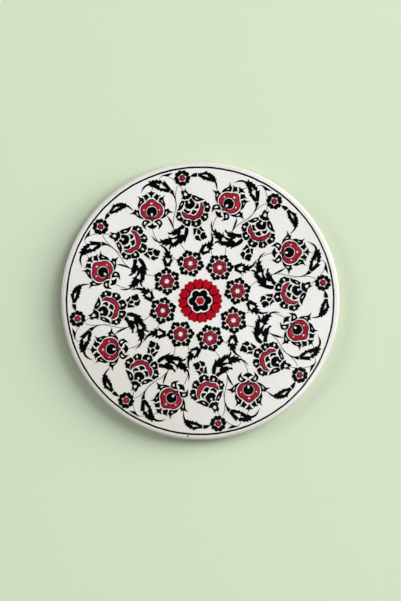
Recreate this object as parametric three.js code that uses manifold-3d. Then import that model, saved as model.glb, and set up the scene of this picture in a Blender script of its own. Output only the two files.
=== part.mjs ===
// Round hand-painted ceramic plate: a flat pressed disc with a rounded shoulder, one coat of clear
// glaze over the white top and side, and raised enamel painting on the glaze.
// Millimetres, +Z up. The plate rests on its flat unglazed underside at z = 0, centred on the origin.
// The painting is one motif group repeated eight times about the centre, a rosette in the middle
// and a thin border line round the rim.
import * as THREE from 'three';
import { mergeVertices } from 'three/addons/utils/BufferGeometryUtils.js';
import Module from 'manifold-3d';

// Overall sizes
const PLATE_DIAMETER = 180;
const PLATE_THICKNESS = 8;
const GLAZE_THICKNESS = 0.4;
const PAINT_THICKNESS = 0.3;

// Shoulder and underside
const SHOULDER_WIDTH = 3.2;
const SHOULDER_DROP = 3.0;
const FOOT_EDGE_ROUND = 1.6;
const GLAZE_STOP_HEIGHT = 2.2;

// Painting
const REPEATS = 8;
const BORDER_WIDTH = 0.9;
const BORDER_TO_SHOULDER = 0.15;
const BORDER_TO_FLOWERS = 0.6;
const STEM_WIDTH = 0.6;
const LINK_WIDTH = 0.5;
const ROSETTE_TO_FLOWERS = 2.6;
const ROSETTE_FLOWER_RADIUS = 7.1;
const ROSETTE_FLOWER_GAP = 0.8;
const ROSETTE_HEART_RADIUS = 2.5;
const ROSETTE_HEART_GAP = 0.8;
const RIM_FLOWER_RADIUS = 5.1;
const RIM_HEART_RADIUS = 1.9;
const INNER_FLOWER_GAP = 2.46;
const HORSESHOE_DEPTH = 3.4;
const PUPIL_RADIUS = 3.1;

// Sizes that follow from those above
const PLATE_RADIUS = PLATE_DIAMETER / 2;
const GLAZE_TOP = PLATE_THICKNESS;
const BODY_TOP = PLATE_THICKNESS - GLAZE_THICKNESS;
const BODY_RADIUS = PLATE_RADIUS - GLAZE_THICKNESS;

// Where the two flowers of a repeat stand, as drawn, and how far out the drawing reaches.
const RIM_FLOWER_AT = [-11.6, 79.2];
const INNER_FLOWER_AT = [-6.3, 24.1];
const DRAWN_REACH = Math.hypot(...RIM_FLOWER_AT) + RIM_FLOWER_RADIUS;

// The border line keeps inside the shoulder, and the drawing is scaled to keep inside the border line.
const BORDER_OUTSIDE = PLATE_RADIUS - SHOULDER_WIDTH - BORDER_TO_SHOULDER;
const BORDER_INSIDE = BORDER_OUTSIDE - BORDER_WIDTH;
const PAINT_SCALE = (BORDER_INSIDE - BORDER_TO_FLOWERS) / DRAWN_REACH;

// Drawn sizes that follow: neighbouring inner flowers keep their gap, and the rosette keeps inside them.
const INNER_RING_RADIUS = Math.hypot(...INNER_FLOWER_AT);
const INNER_FLOWER_RADIUS = INNER_RING_RADIUS * Math.sin(Math.PI / REPEATS) - INNER_FLOWER_GAP / 2;
const INNER_HEART_RADIUS = INNER_FLOWER_RADIUS - HORSESHOE_DEPTH;
const ROSETTE_RADIUS = INNER_RING_RADIUS - INNER_FLOWER_RADIUS - ROSETTE_TO_FLOWERS;
const ROSETTE_OPENING = ROSETTE_FLOWER_RADIUS + ROSETTE_FLOWER_GAP;
const ROSETTE_FLOWER_OPENING = ROSETTE_HEART_RADIUS + ROSETTE_HEART_GAP;

const LATHE_STEPS = 48;

const wasm = await Module();
wasm.setup();

// ---- materials ----
const clay = () => new THREE.MeshStandardMaterial({ color: 0xd9c3a3, roughness: 0.85, metalness: 0 });
const glaze = () => new THREE.MeshStandardMaterial({ color: 0xe9e6dc, roughness: 0.15, metalness: 0 });
const black = () => new THREE.MeshStandardMaterial({ color: 0x16161a, roughness: 0.25, metalness: 0 });
const red = () => new THREE.MeshStandardMaterial({ color: 0xa81c2e, roughness: 0.25, metalness: 0 });

// ---- solids ----
const toSolid = (geometry) => {
  geometry.deleteAttribute('normal');
  geometry.deleteAttribute('uv');
  const welded = mergeVertices(geometry, 1e-4);
  const vertProperties = new Float32Array(welded.attributes.position.array);
  const triVerts = new Uint32Array(welded.index.array);
  return new wasm.Manifold(new wasm.Mesh({ numProp: 3, vertProperties, triVerts }));
};

const toGeometry = (solid) => {
  const mesh = solid.getMesh();
  const geometry = new THREE.BufferGeometry();
  geometry.setAttribute('position', new THREE.Float32BufferAttribute(mesh.vertProperties, 3));
  geometry.setIndex(Array.from(mesh.triVerts));
  const faceted = geometry.toNonIndexed();
  faceted.computeVertexNormals();
  return faceted;
};

// Enamel lies on the glaze: every painted field is this slab of one outline.
const slab = (shape, curveSegments = 1) => toSolid(new THREE.ExtrudeGeometry(shape, {
  depth: PAINT_THICKNESS,
  bevelEnabled: false,
  curveSegments,
}));

const union = (solids) => solids.reduce((whole, next) => whole.add(next));

const plate = new THREE.Group();
plate.name = 'hand_painted_plate';

const place = (name, geometry, material, height, turn) => {
  const mesh = new THREE.Mesh(geometry, material);
  mesh.name = name;
  mesh.position.z = height;
  mesh.rotation.z = turn;
  plate.add(mesh);
};

// ---- outlines ----
// A point is [x, y] on a smooth stretch or [x, y, 1] at a sharp corner.
const outline = (points) => {
  const spots = points.map(([x, y]) => new THREE.Vector2(x, y).multiplyScalar(PAINT_SCALE));
  const sharp = points.map((point) => point.length > 2);
  const count = spots.length;
  const handles = spots.map((spot, i) => {
    const before = spots[(i + count - 1) % count];
    const after = spots[(i + 1) % count];
    if (sharp[i]) {
      return [spot.clone().lerp(before, 1 / 3), spot.clone().lerp(after, 1 / 3)];
    }
    const back = spot.distanceTo(before);
    const ahead = spot.distanceTo(after);
    const along = after.clone().sub(before).normalize();
    return [
      spot.clone().addScaledVector(along, -back / 3),
      spot.clone().addScaledVector(along, ahead / 3),
    ];
  });
  const shape = new THREE.Shape();
  shape.moveTo(spots[0].x, spots[0].y);
  for (let i = 0; i < count; i += 1) {
    const next = (i + 1) % count;
    if (sharp[i] && sharp[next]) {
      shape.lineTo(spots[next].x, spots[next].y);
    } else {
      const [out, into] = [handles[i][1], handles[next][0]];
      shape.bezierCurveTo(out.x, out.y, into.x, into.y, spots[next].x, spots[next].y);
    }
  }
  return shape;
};

// A motif drawn about its own upright axis: the right half is given, the left half mirrors it.
const mirrored = (half) => [
  ...half,
  ...half.slice().reverse().filter(([x]) => Math.abs(x) > 1e-6).map(([x, y, ...rest]) => [-x, y, ...rest]),
];

const flipped = (points) => points.map(([x, y, ...rest]) => [-x, y, ...rest]);

const moved = (points, [atX, atY], degrees) => points.map(([x, y, ...rest]) => {
  const spot = new THREE.Vector2(x, y).rotateAround(new THREE.Vector2(), THREE.MathUtils.degToRad(degrees));
  return [spot.x + atX, spot.y + atY, ...rest];
});

// A closed outline of equal lobes; `reaches` are the radii round one lobe, evenly spread.
const lobed = (lobes, degrees, reaches) => {
  const count = lobes * reaches.length;
  const points = [];
  for (let i = 0; i < count; i += 1) {
    const angle = THREE.MathUtils.degToRad(degrees + (i / count) * 360);
    const radius = reaches[i % reaches.length] * PAINT_SCALE;
    points.push(new THREE.Vector2(radius * Math.cos(angle), radius * Math.sin(angle)));
  }
  return new THREE.Shape(points);
};

// A brush line of one width along a smooth path.
const stroke = (path, width) => {
  const curve = new THREE.SplineCurve(path.map(([x, y]) => new THREE.Vector2(x, y).multiplyScalar(PAINT_SCALE)));
  const steps = path.length > 2 ? path.length : 1;
  const left = [];
  const right = [];
  for (let i = 0; i <= steps; i += 1) {
    const spot = curve.getPoint(i / steps);
    const ahead = curve.getTangent(i / steps);
    const side = new THREE.Vector2(-ahead.y, ahead.x).multiplyScalar(width / 2);
    left.push(spot.clone().add(side));
    right.unshift(spot.clone().sub(side));
  }
  return slab(new THREE.Shape([...left, ...right]));
};

// ---- clay body and glaze coat ----
const SHOULDER_STEPS = 3;
const shoulderArc = (radius, top) => {
  const arc = [];
  for (let i = 0; i <= SHOULDER_STEPS; i += 1) {
    const angle = (i / SHOULDER_STEPS) * Math.PI / 2;
    const x = radius - SHOULDER_WIDTH + SHOULDER_WIDTH * Math.cos(angle);
    const z = top - SHOULDER_DROP + SHOULDER_DROP * Math.sin(angle);
    arc.push(new THREE.Vector2(x, z));
  }
  return arc;
};

const bodyProfile = [
  new THREE.Vector2(0, 0),
  new THREE.Vector2(BODY_RADIUS - FOOT_EDGE_ROUND, 0),
  new THREE.Vector2(BODY_RADIUS - FOOT_EDGE_ROUND * 0.3, FOOT_EDGE_ROUND * 0.35),
  new THREE.Vector2(BODY_RADIUS, FOOT_EDGE_ROUND),
  new THREE.Vector2(BODY_RADIUS, GLAZE_STOP_HEIGHT),
  ...shoulderArc(BODY_RADIUS, BODY_TOP),
  new THREE.Vector2(0, BODY_TOP),
];
const bodyLathe = new THREE.LatheGeometry(bodyProfile, LATHE_STEPS).rotateX(Math.PI / 2);
place('clay_body', toGeometry(toSolid(bodyLathe)), clay(), 0, 0);

const glazeProfile = [
  new THREE.Vector2(0, BODY_TOP),
  ...shoulderArc(BODY_RADIUS, BODY_TOP).reverse(),
  new THREE.Vector2(BODY_RADIUS, GLAZE_STOP_HEIGHT),
  new THREE.Vector2(PLATE_RADIUS, GLAZE_STOP_HEIGHT + GLAZE_THICKNESS / 2),
  ...shoulderArc(PLATE_RADIUS, GLAZE_TOP),
  new THREE.Vector2(0, GLAZE_TOP),
];
const glazeLathe = new THREE.LatheGeometry(glazeProfile, LATHE_STEPS).rotateX(Math.PI / 2);
place('glaze_coat', toGeometry(toSolid(glazeLathe)), glaze(), 0, 0);

// ---- border line ----
const borderShape = new THREE.Shape();
borderShape.absarc(0, 0, BORDER_OUTSIDE, 0, Math.PI * 2, false);
const borderInside = new THREE.Path();
borderInside.absarc(0, 0, BORDER_INSIDE, 0, Math.PI * 2, true);
borderShape.holes.push(borderInside);
const borderGeometry = new THREE.ExtrudeGeometry(borderShape, {
  depth: PAINT_THICKNESS,
  bevelEnabled: false,
  curveSegments: LATHE_STEPS / 2,
});
place('border_line', toGeometry(toSolid(borderGeometry)), black(), GLAZE_TOP, 0);

// ---- centre rosette ----
// Twelve heart-shaped petals, each with a dip on its middle line and a cleft to the next.
const ROSETTE_TURN = -8.5;
const petalReaches = [2.5, 0.7, 0, 0.8, 0, 0.7].map((dip) => ROSETTE_RADIUS - dip);
const rosetteRing = slab(lobed(12, ROSETTE_TURN, petalReaches))
  .subtract(slab(lobed(12, ROSETTE_TURN, [ROSETTE_OPENING])));
place('rosette_petals', toGeometry(rosetteRing), red(), GLAZE_TOP, 0);

const flowerReaches = [1.9, 0.4, 0, 0.4].map((dip) => ROSETTE_FLOWER_RADIUS - dip);
const rosetteFlower = slab(lobed(6, -25, flowerReaches)).subtract(slab(lobed(6, 0, [ROSETTE_FLOWER_OPENING])));
place('rosette_flower', toGeometry(rosetteFlower), black(), GLAZE_TOP, 0);

const heartReaches = [ROSETTE_HEART_RADIUS, ROSETTE_HEART_RADIUS - 0.4];
place('rosette_heart', toGeometry(slab(lobed(6, 0, heartReaches))), red(), GLAZE_TOP, 0);

// ---- palmette: a large upright flower head ----
const PALMETTE_AT = [-31.2, 57.4];
const PALMETTE_TURN = 1.8;
const palmetteHeart = [[0, 8.3], [4.1, 5.6], [6.9, 3.2], [6.6, -2.0], [2.4, -4.7, 1], [0, -6.4, 1]];
const palmetteCrown = [
  [0, 13.4, 1], [2.3, 12.3, 1], [0.9, 10.6, 1], [1.7, 10.1, 1], [3.3, 11.4, 1], [5.9, 10.3, 1],
  [3.3, 7.3, 1], [1.4, 9.3, 1],
];
const palmetteFoot = [[0, -7.4, 1], [0.9, -8.7, 1], [4.4, -9.0, 1], [1.4, -10.7, 1]];
const palmetteSidePetals = [
  [[5.3, 8.9, 1], [8.4, 10.1, 1], [8.0, 7.0, 1], [8.7, 1.0, 1], [6.9, 4.8, 1], [4.6, 6.5, 1]],
  [[8.3, 1.5, 1], [10.6, 1.7, 1], [13.5, -0.7, 1], [4.7, -5.6, 1], [7.8, -2.0, 1]],
  [[1.2, -6.6, 1], [4.6, -5.1, 1], [6.5, -7.4, 1], [4.2, -11.0, 1], [4.0, -8.7, 1]],
];
const crownLink = [[4.0, 8.9], [5.8, 8.1]];

const palmetteSolids = () => {
  const put = (points) => moved(points, PALMETTE_AT, PALMETTE_TURN);
  const solids = [slab(outline(put(mirrored(palmetteCrown)))), slab(outline(put(mirrored(palmetteFoot))))];
  for (const petal of palmetteSidePetals) {
    solids.push(slab(outline(put(petal))), slab(outline(put(flipped(petal)))));
  }
  solids.push(stroke(put(crownLink), LINK_WIDTH), stroke(put(flipped(crownLink)), LINK_WIDTH));
  return solids;
};

// ---- lotus: a side-on blossom over a red band and five scalloped petals ----
const LOTUS_CENTRE = [-4.7, 59.6];
const lotusParts = [
  [[-12.0, 71.1, 1], [-10.5, 70.6, 1], [-9.7, 72.4, 1], [-8.2, 70.0, 1], [-5.5, 68.9, 1], [-2.6, 67.8, 1],
    [2.6, 65.5, 1], [-1.4, 64.3, 1], [-6.2, 67.0, 1], [-8.7, 65.5, 1], [-12.1, 65.8, 1], [-11.3, 68.2, 1]],
  [[-12.2, 66.3, 1], [-10.3, 64.3, 1], [-11.0, 61.0, 1], [-15.0, 57.9, 1], [-13.4, 62.0, 1]],
  [[-9.9, 64.2, 1], [-9.6, 61.0, 1], [-10.8, 58.2, 1], [-8.4, 56.3, 1], [-6.2, 57.0, 1], [-3.5, 56.1, 1],
    [-0.9, 60.6, 1], [-2.5, 63.1, 1], [-3.4, 62.0, 1], [-5.9, 67.2, 1], [-7.3, 62.8, 1]],
];
const lotusBand = [
  [-11.9, 57.8, 1], [-10.5, 54.2], [-3.8, 52.1], [1.6, 56.4], [2.1, 61.0], [0.2, 63.5, 1],
  [-0.8, 58.2], [-4.2, 54.9], [-9.0, 55.9],
];
// Each scalloped petal stands on a ray from the blossom: [angle, distance of its foot from the centre].
const lotusRays = [[204, 7.9], [240, 8.4], [283, 8.4], [323, 7.9], [8, 7.4]];
const scallopPetal = [
  [2.6, 0.8, 1], [1.7, 3.7, 1], [-1.7, 3.7, 1], [-2.6, 0.8, 1], [-0.9, 0, 1], [0, 2.0, 1], [0.9, 0, 1],
];
const onRay = (points, centre, angle, reach) => {
  const bearing = THREE.MathUtils.degToRad(angle);
  const foot = [centre[0] + reach * Math.cos(bearing), centre[1] + reach * Math.sin(bearing)];
  return moved(points, foot, angle - 90);
};
const lotusLinks = [
  [[-14.0, 58.8], [-14.0, 57.0]],
  [[-12.7, 54.6], [-11.4, 51.6]],
  [[-8.4, 50.2], [-4.2, 49.6]],
  [[-0.2, 50.6], [2.0, 53.0]],
  [[4.0, 55.2], [4.4, 58.4]],
  [[-3.2, 48.8], [-3.0, 46.0]],
];

const lotusSolids = () => [
  ...lotusParts.map((points) => slab(outline(points))),
  ...lotusRays.map(([angle, reach]) => slab(outline(onRay(scallopPetal, LOTUS_CENTRE, angle, reach)))),
  ...lotusLinks.map((path) => stroke(path, LINK_WIDTH)),
];

// ---- three-lobed bud under the lotus ----
const bud = [
  [-4.5, 46.8, 1], [-1.2, 47.0, 1], [0.5, 47.9, 1], [2.8, 45.3, 1], [0.3, 45.0, 1], [2.2, 44.2, 1],
  [3.9, 41.6, 1], [1.4, 39.9, 1], [-0.4, 42.2, 1], [0.8, 39.1, 1], [-2.6, 39.3, 1], [-3.0, 41.4, 1],
  [-2.2, 44.2, 1], [-4.0, 42.3, 1],
];

// ---- toothed leaves ----
const rimLeaf = [
  [-7.6, 79.4, 1], [-5.2, 81.5, 1], [-2.1, 82.4, 1], [-1.4, 81.7, 1], [-0.6, 82.4, 1], [4.4, 83.6, 1],
  [4.7, 82.5, 1], [6.7, 82.4, 1], [6.8, 81.5, 1], [8.7, 81.0, 1], [10.6, 78.5, 1], [10.9, 75.5, 1],
  [10.8, 72.1, 1], [9.2, 76.8, 1], [6.2, 77.1, 1], [5.7, 77.9, 1], [2.2, 78.1, 1], [-1.4, 81.0, 1],
  [-2.3, 80.2, 1],
];
const rimLeafWindow = [[0.7, 81.2, 1], [4.5, 81.2, 1], [6.4, 79.7, 1]];
const rimThorn = [[-18.0, 82.4, 1], [-24.3, 80.9, 1], [-21.2, 80.3, 1]];
const sideLeaf = [
  [-18.9, 72.1, 1], [-23.3, 77.5, 1], [-23.9, 75.9, 1], [-25.9, 77.9, 1], [-26.6, 77.2, 1],
  [-28.5, 78.2, 1], [-29.0, 77.4, 1], [-33.3, 77.2, 1], [-32.6, 75.8, 1], [-35.6, 74.4, 1],
  [-37.9, 70.3, 1], [-32.4, 74.4, 1], [-27.9, 72.5, 1], [-25.6, 70.5, 1], [-20.1, 70.2, 1],
  [-17.2, 67.8, 1], [-15.6, 63.2, 1], [-16.7, 68.4, 1], [-18.4, 71.7, 1],
];
const sideLeafWindow = [[-28.4, 75.3, 1], [-25.0, 75.8, 1], [-21.3, 72.1, 1], [-26.3, 73.4, 1]];
const stemThorn = [[-20.9, 54.4, 1], [-18.3, 51.6, 1], [-17.0, 47.0, 1], [-19.2, 50.4, 1]];
const bigLeaf = [
  [-30.7, 41.2, 1], [-28.6, 39.2, 1], [-25.3, 38.4, 1], [-25.6, 39.6, 1], [-20.1, 40.1, 1],
  [-20.6, 41.5, 1], [-17.6, 40.6, 1], [-14.7, 42.4, 1], [-20.6, 43.4, 1], [-18.1, 44.1, 1],
  [-17.2, 46.0, 1], [-11.7, 49.1, 1], [-9.6, 47.3, 1], [-8.0, 47.2, 1], [-7.8, 43.6, 1],
  [-9.9, 37.7, 1], [-10.6, 39.3, 1], [-12.2, 36.8, 1], [-13.0, 37.5, 1], [-16.0, 34.7, 1],
  [-16.4, 35.7, 1], [-17.6, 34.4, 1], [-18.1, 35.6, 1], [-19.8, 32.8, 1], [-19.0, 36.2, 1],
  [-22.4, 35.1, 1], [-22.1, 36.4, 1], [-24.9, 36.1, 1], [-24.2, 37.2, 1], [-28.3, 38.3, 1],
];
const bigLeafWindows = [
  [[-11.2, 46.5, 1], [-12.9, 42.6, 1], [-10.4, 42.4, 1], [-9.8, 46.2, 1]],
  [[-18.4, 39.3, 1], [-14.6, 40.1, 1], [-17.4, 37.4, 1]],
];
const smallLeaf = [
  [7.2, 43.6, 1], [8.4, 39.8, 1], [8.0, 37.0, 1], [9.0, 36.3, 1], [6.9, 34.3, 1], [8.3, 33.7, 1],
  [5.7, 32.1, 1], [6.5, 31.1, 1], [1.9, 29.5, 1], [-0.6, 31.4, 1], [1.5, 36.4, 1], [2.5, 35.7, 1],
  [3.5, 37.4, 1], [4.2, 36.2, 1], [5.5, 38.5, 1], [6.3, 37.1, 1], [7.4, 40.4, 1],
];
const smallLeafWindow = [[2.2, 32.0, 1], [3.6, 35.1, 1], [5.4, 33.1, 1]];
const SMALL_LEAF_STEP = 45;

const leafSolids = () => {
  const cutOut = (leaf, windows) => windows.reduce(
    (solid, window) => solid.subtract(slab(outline(window))),
    slab(outline(leaf)),
  );
  const turned = (points) => moved(points, [0, 0], SMALL_LEAF_STEP);
  return [
    ...[rimThorn, stemThorn, bud].map((points) => slab(outline(points))),
    cutOut(rimLeaf, [rimLeafWindow]),
    cutOut(sideLeaf, [sideLeafWindow]),
    cutOut(bigLeaf, bigLeafWindows),
    cutOut(turned(smallLeaf), [turned(smallLeafWindow)]),
  ];
};

// ---- stems ----
const stems = [
  [[-15.2, 77.6], [-20.5, 80.6], [-24.4, 80.7], [-26.8, 77.2]],
  [[-14.2, 75.4], [-15.7, 68.0], [-15.9, 58.0], [-17.2, 51.0], [-17.0, 45.6]],
  [[-13.2, 75.2], [-10.9, 69.8]],
  [[-30.0, 74.2], [-31.3, 69.8]],
  [[-30.9, 47.6], [-30.4, 44.0], [-28.0, 39.0], [-24.6, 34.8]],
  [[-13.6, 37.4], [-9.4, 31.6]],
  [[-18.1, 28.6], [-13.4, 25.8]],
];
const stemSolids = () => stems.map((path) => stroke(path, STEM_WIDTH));

// ---- rim flower: five two-lobed petals round a red heart ----
const shifted = (solid, [x, y]) => solid.translate([x * PAINT_SCALE, y * PAINT_SCALE, 0]);
const rimPetalReaches = [1.4, 0.1, 0.4, 0.1].map((dip) => RIM_FLOWER_RADIUS - dip);
const rimFlowerSolid = () => shifted(
  slab(lobed(5, 21, rimPetalReaches)).subtract(slab(lobed(6, 0, [RIM_HEART_RADIUS + 0.6]))),
  RIM_FLOWER_AT,
);

// ---- inner flower: six horseshoe petals round a red six-lobed heart ----
const INNER_FLOWER_TURN = 18;
const horseshoeReaches = [2.2, 0.3, 0, 0.3].map((dip) => INNER_FLOWER_RADIUS - dip);
const horseshoeOpenings = [0.4, 0.3, 2.2, 0.3].map((rise) => INNER_HEART_RADIUS + rise);
const innerFlowerSolid = () => shifted(
  slab(lobed(6, INNER_FLOWER_TURN, horseshoeReaches))
    .subtract(slab(lobed(6, INNER_FLOWER_TURN, horseshoeOpenings))),
  INNER_FLOWER_AT,
);
const innerHeartSolid = () => shifted(
  slab(lobed(6, INNER_FLOWER_TURN, [INNER_HEART_RADIUS - 0.9, INNER_HEART_RADIUS]))
    .subtract(slab(lobed(6, INNER_FLOWER_TURN, [2.1, 1.1]))),
  INNER_FLOWER_AT,
);

// ---- red fields and pupil of one repeat ----
const circle = (centre, radius, steps) => shifted(slab(lobed(steps, 0, [radius])), centre);
const palmetteHeartSolid = () => slab(outline(moved(mirrored(palmetteHeart), PALMETTE_AT, PALMETTE_TURN)), 2)
  .subtract(circle(PALMETTE_AT, PUPIL_RADIUS + 0.8, 12));
const pupilDrop = [[0, -0.5, 1], [0.9, -1.6, 1], [0, -4.0, 1], [-0.9, -1.6, 1]];
const pupilSolid = () => circle(PALMETTE_AT, PUPIL_RADIUS, 12)
  .subtract(slab(outline(moved(pupilDrop, PALMETTE_AT, PALMETTE_TURN))));

// ---- the eight repeats ----
const vine = toGeometry(union([
  ...stemSolids(),
  ...leafSolids(),
  ...palmetteSolids(),
  ...lotusSolids(),
  rimFlowerSolid(),
  innerFlowerSolid(),
]));
const palmetteHeartGeometry = toGeometry(palmetteHeartSolid());
const pupilGeometry = toGeometry(pupilSolid());
const lotusBandGeometry = toGeometry(slab(outline(lotusBand), 2));
const innerHeartGeometry = toGeometry(innerHeartSolid());
const rimHeartGeometry = toGeometry(circle(RIM_FLOWER_AT, RIM_HEART_RADIUS, 7));

for (let k = 0; k < REPEATS; k += 1) {
  const turn = (k / REPEATS) * Math.PI * 2;
  const tag = k + 1;
  place(`vine_${tag}`, vine.clone(), black(), GLAZE_TOP, turn);
  place(`palmette_heart_${tag}`, palmetteHeartGeometry.clone(), red(), GLAZE_TOP, turn);
  place(`palmette_pupil_${tag}`, pupilGeometry.clone(), black(), GLAZE_TOP, turn);
  place(`lotus_band_${tag}`, lotusBandGeometry.clone(), red(), GLAZE_TOP, turn);
  place(`inner_heart_${tag}`, innerHeartGeometry.clone(), red(), GLAZE_TOP, turn);
  place(`rim_heart_${tag}`, rimHeartGeometry.clone(), red(), GLAZE_TOP, turn);
}

export default plate;
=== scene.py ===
# %% [markdown]
# # A hand painted ceramic plate
# The real thing is one flat disc of fired clay, about a hand's span across. The potter presses the disc,
# rounds its shoulder, covers the face with white slip, paints it with a fine brush, and fires it under a
# clear gloss glaze. The underside stays bare clay.
# The plan here is the same: turn the body, lay the glaze over it, then brush the painting on as thin raised
# fields of enamel. One motif group is drawn once and repeated eight times round the centre.

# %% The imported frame
import math

import bpy
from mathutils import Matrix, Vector


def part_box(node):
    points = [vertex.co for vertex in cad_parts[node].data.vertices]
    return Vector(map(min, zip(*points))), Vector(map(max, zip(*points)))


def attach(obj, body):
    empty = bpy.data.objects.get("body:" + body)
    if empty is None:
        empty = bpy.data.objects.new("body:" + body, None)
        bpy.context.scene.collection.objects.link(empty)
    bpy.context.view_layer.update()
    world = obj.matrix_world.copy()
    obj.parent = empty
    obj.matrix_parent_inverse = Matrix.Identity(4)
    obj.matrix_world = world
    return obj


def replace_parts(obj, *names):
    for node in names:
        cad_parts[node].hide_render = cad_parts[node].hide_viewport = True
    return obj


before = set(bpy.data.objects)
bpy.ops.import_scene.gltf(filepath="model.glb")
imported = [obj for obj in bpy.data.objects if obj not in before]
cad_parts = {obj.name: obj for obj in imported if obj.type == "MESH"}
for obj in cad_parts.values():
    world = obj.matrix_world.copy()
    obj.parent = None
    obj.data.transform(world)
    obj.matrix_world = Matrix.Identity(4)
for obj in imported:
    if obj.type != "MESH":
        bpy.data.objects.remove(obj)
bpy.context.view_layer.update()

# %% [markdown]
# All sizes are typed in millimetres, as on a maker's sketch, and multiplied by MM on their way into Blender.
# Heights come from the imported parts, so the painting sits exactly where the frame says the glaze ends.

# %% Sizes read from the frame
MM = 0.001
body_low, body_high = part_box("clay_body")
glaze_low, glaze_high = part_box("glaze_coat")
PLATE_RADIUS = (glaze_high[0] - glaze_low[0]) / 2
BODY_RADIUS = (body_high[0] - body_low[0]) / 2
BODY_TOP = body_high[2]
GLAZE_TOP = glaze_high[2]
GLAZE_STOP = glaze_low[2]
REPEATS = 8
print(f"plate radius {PLATE_RADIUS / MM:.1f} mm, glaze top at {GLAZE_TOP / MM:.2f} mm")

# %% [markdown]
# Operators act on whatever is selected, and the loaded frame is selected. A small helper clears that first.
# Another selects one object alone, so every operator that follows works on that piece.

# %% Selection helpers
def deselect_all():
    if bpy.context.mode != "OBJECT":
        bpy.ops.object.mode_set(mode="OBJECT")
    bpy.ops.object.select_all(action="DESELECT")


def work_on(piece):
    deselect_all()
    piece.select_set(True)
    bpy.context.view_layer.objects.active = piece
    return piece


deselect_all()


# %% [markdown]
# ## Materials
# The plate has seven finishes: bare clay, white glaze, black enamel, two reds, the dark contour that edges
# each red field, and the thinned black of the stems. They are built first, because each piece is given its
# finish as it is made. Node code is easiest to read as a sentence, so each helper adds one node, sets it,
# wires it, and hands back what comes out of it.

# %% Node helpers
def new_material(name):
    material = bpy.data.materials.new(name)
    material.use_nodes = True
    tree = material.node_tree
    shader = tree.nodes["Principled BSDF"]
    place = tree.nodes.new("ShaderNodeTexCoord").outputs["Object"]
    return material, tree, shader, place


def noise(tree, place, scale, detail=2.0, rough=0.5):
    """A cloudy pattern of `scale` patches per metre."""
    node = tree.nodes.new("ShaderNodeTexNoise")
    node.inputs["Scale"].default_value = scale
    node.inputs["Detail"].default_value = detail
    node.inputs["Roughness"].default_value = rough
    tree.links.new(place, node.inputs["Vector"])
    return node.outputs["Fac"]


def ramp(tree, fac, stops):
    """Colours laid along 0 to 1: stops are (position, (red, green, blue))."""
    node = tree.nodes.new("ShaderNodeValToRGB")
    elements = node.color_ramp.elements
    while len(elements) < len(stops):
        elements.new(0.5)
    for element, (position, colour) in zip(elements, stops):
        element.position = position
        element.color = (*colour, 1)
    tree.links.new(fac, node.inputs["Fac"])
    return node.outputs["Color"]


def mix(tree, kind, fac, first, second):
    """Blends two colours. Each input is a wire from another node or a plain value."""
    node = tree.nodes.new("ShaderNodeMix")
    node.data_type = "RGBA"
    node.blend_type = kind
    for socket, value in (("Factor", fac), ("A", first), ("B", second)):
        if isinstance(value, bpy.types.NodeSocket):
            tree.links.new(value, node.inputs[socket])
        else:
            node.inputs[socket].default_value = value
    return node.outputs["Result"]


def tinted(tree, colour, fac, stops):
    """A colour multiplied by a ramp."""
    return mix(tree, "MULTIPLY", 1.0, colour, ramp(tree, fac, stops))


def bump(tree, shader, height, distance, strength):
    node = tree.nodes.new("ShaderNodeBump")
    node.inputs["Distance"].default_value = distance
    node.inputs["Strength"].default_value = strength
    tree.links.new(height, node.inputs["Height"])
    tree.links.new(node.outputs["Normal"], shader.inputs["Normal"])


def measure(tree, place, operation, other=(0, 0, 0), result="Value"):
    """One step of vector arithmetic: a product, a dot product, a length or a distance."""
    node = tree.nodes.new("ShaderNodeVectorMath")
    node.operation = operation
    node.inputs[1].default_value = other
    tree.links.new(place, node.inputs[0])
    return node.outputs[result]


def fade(tree, value, start, end, low=0.0, high=1.0):
    """Runs from `low` to `high` while `value` runs from `start` to `end`."""
    node = tree.nodes.new("ShaderNodeMapRange")
    for socket, number in (("From Min", start), ("From Max", end), ("To Min", low), ("To Max", high)):
        node.inputs[socket].default_value = number
    tree.links.new(value, node.inputs["Value"])
    return node.outputs["Result"]


def grey(value):
    return (value, value, value)


# %% [markdown]
# ### White glaze
# Slip brushed by hand is never one white. Broad clouds of cream show where it lies thinner, and tiny grey
# flecks are iron in the clay. A painted shade darkens it towards the lower left of the plate, another painted
# shade darkens it where it rolls over the shoulder, and it warms down the side, where it runs out. One small
# chip shows the clay. The clear glaze on top is a coat layer, smooth but a little wavy.

# %% White glaze
CLOUDS, MOTTLE, FLECKS, WAVES = 38, 620, 2100, 150
SIDE_FADE = 4.0 * MM
PAINTED_SHADE_SIDE = (-0.5, -0.87)
CHIP_AT = (-8.0 * MM, -87.2 * MM, GLAZE_TOP - 0.2 * MM)
CHIP_INNER, CHIP_OUTER = 0.5 * MM, 0.9 * MM
CHIP_RUST = (0.16, 0.10, 0.06, 1)


def slip_colour(tree, place):
    """Cream clouds, a fine mottle, and iron flecks."""
    clouds = noise(tree, place, CLOUDS, detail=3)
    mottle = noise(tree, place, MOTTLE, detail=4, rough=0.65)
    fleck = noise(tree, place, FLECKS, detail=1)
    colour = ramp(tree, clouds, [(0.30, (0.84, 0.825, 0.775)), (0.62, (0.89, 0.885, 0.855))])
    colour = tinted(tree, colour, mottle, [(0.30, grey(0.93)), (0.60, grey(1.0))])
    return tinted(tree, colour, fleck, [(0.19, (0.52, 0.47, 0.40)), (0.25, grey(1.0))])


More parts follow.
